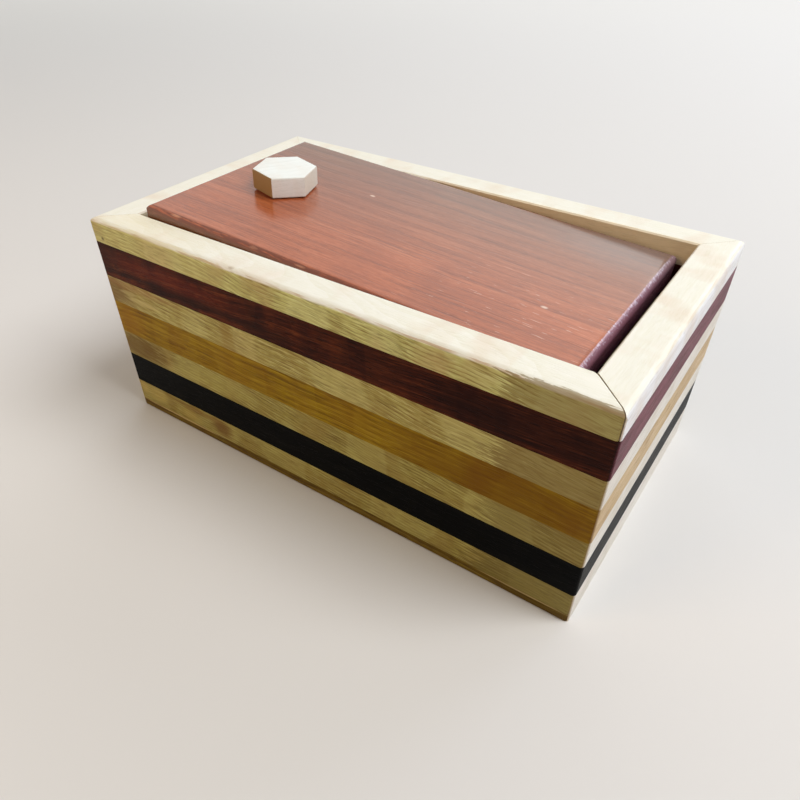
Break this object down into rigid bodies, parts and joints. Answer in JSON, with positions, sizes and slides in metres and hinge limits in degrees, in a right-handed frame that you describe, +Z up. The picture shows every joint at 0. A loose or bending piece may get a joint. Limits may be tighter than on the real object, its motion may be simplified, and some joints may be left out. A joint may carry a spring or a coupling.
{
  "type": "puzzle box",
  "caption": "Mitred wooden box of striped laminated strips, with a pin-hung tilting lid locked by a hexagonal turn knob and a bevel-edged base panel that slides out.",
  "frame": {"origin": "on the surface the box stands on, under the middle of its four walls", "axes": "+X along the length, from the knob end of the lid to its hinge end; +Z up; the front, where the base slides out, faces -Y"},
  "size_m": [0.19, 0.109, 0.0905],
  "materials": {
    "pale_wood": "satin oil, ash",
    "red_wood": "satin oil, purpleheart red",
    "gold_wood": "satin oil, golden brown",
    "black_wood": "satin oil, near black",
    "brown_wood": "satin oil, brown",
    "floor_wood": "sanded, unfinished",
    "lid_wood": "semi-gloss lacquer, red brown",
    "knob_wood": "sanded maple",
    "dowel_wood": "plain birch dowel",
    "latch_wood": "waxed hardwood",
    "leather": "plain",
    "brass": "drawn rod"
  },
  "bodies": {
    "case": {"front_foot_strip": "pale_wood", "front_black_strip": "black_wood", "front_lower_pale_strip": "pale_wood", "front_gold_strip": "gold_wood", "front_upper_pale_strip": "pale_wood", "front_red_strip": "red_wood", "front_rim_strip": "pale_wood", "right_foot_strip": "pale_wood", "right_black_strip": "black_wood", "right_lower_pale_strip": "pale_wood", "right_gold_strip": "gold_wood", "right_upper_pale_strip": "pale_wood", "right_red_strip": "red_wood", "right_rim_strip": "pale_wood", "back_foot_strip": "pale_wood", "back_black_strip": "black_wood", "back_lower_pale_strip": "pale_wood", "back_gold_strip": "gold_wood", "back_upper_pale_strip": "pale_wood", "back_red_strip": "red_wood", "back_rim_strip": "pale_wood", "left_foot_strip": "pale_wood", "left_black_strip": "black_wood", "left_lower_pale_strip": "pale_wood", "left_gold_strip": "gold_wood", "left_upper_pale_strip": "pale_wood", "left_red_strip": "red_wood", "left_rim_strip": "pale_wood", "inner_floor": "floor_wood", "hinge_pin_front": "brass", "hinge_pin_back": "brass", "lid_rest_front": "pale_wood", "lid_rest_back": "pale_wood"},
    "lid": {"lid": "lid_wood"},
    "latch": {"knob": "knob_wood", "latch_washer": "leather", "latch_bar": "latch_wood", "knob_shaft": "dowel_wood", "shaft_wedge": "lid_wood"},
    "base": {"base_lip": "brown_wood", "base_panel": "brown_wood", "base_stop_batten": "brown_wood"}
  },
  "joints": [
    {"name": "lid_swing", "type": "hinge", "parent": "case", "child": "lid", "pos_m": [0.055, 0, 0.0721], "axis": [0, 1, 0], "range_deg": [0, 150]},
    {"name": "knob_turn", "type": "hinge", "parent": "lid", "child": "latch", "pos_m": [-0.05285, -0.0005, 0.07775], "axis": [0.0523, 0, 0.9986], "range_deg": [0, 90]},
    {"name": "base_slide", "type": "slide", "parent": "case", "child": "base", "axis": [0, -1, 0], "range_m": [0, 0.0775]}
  ]
}
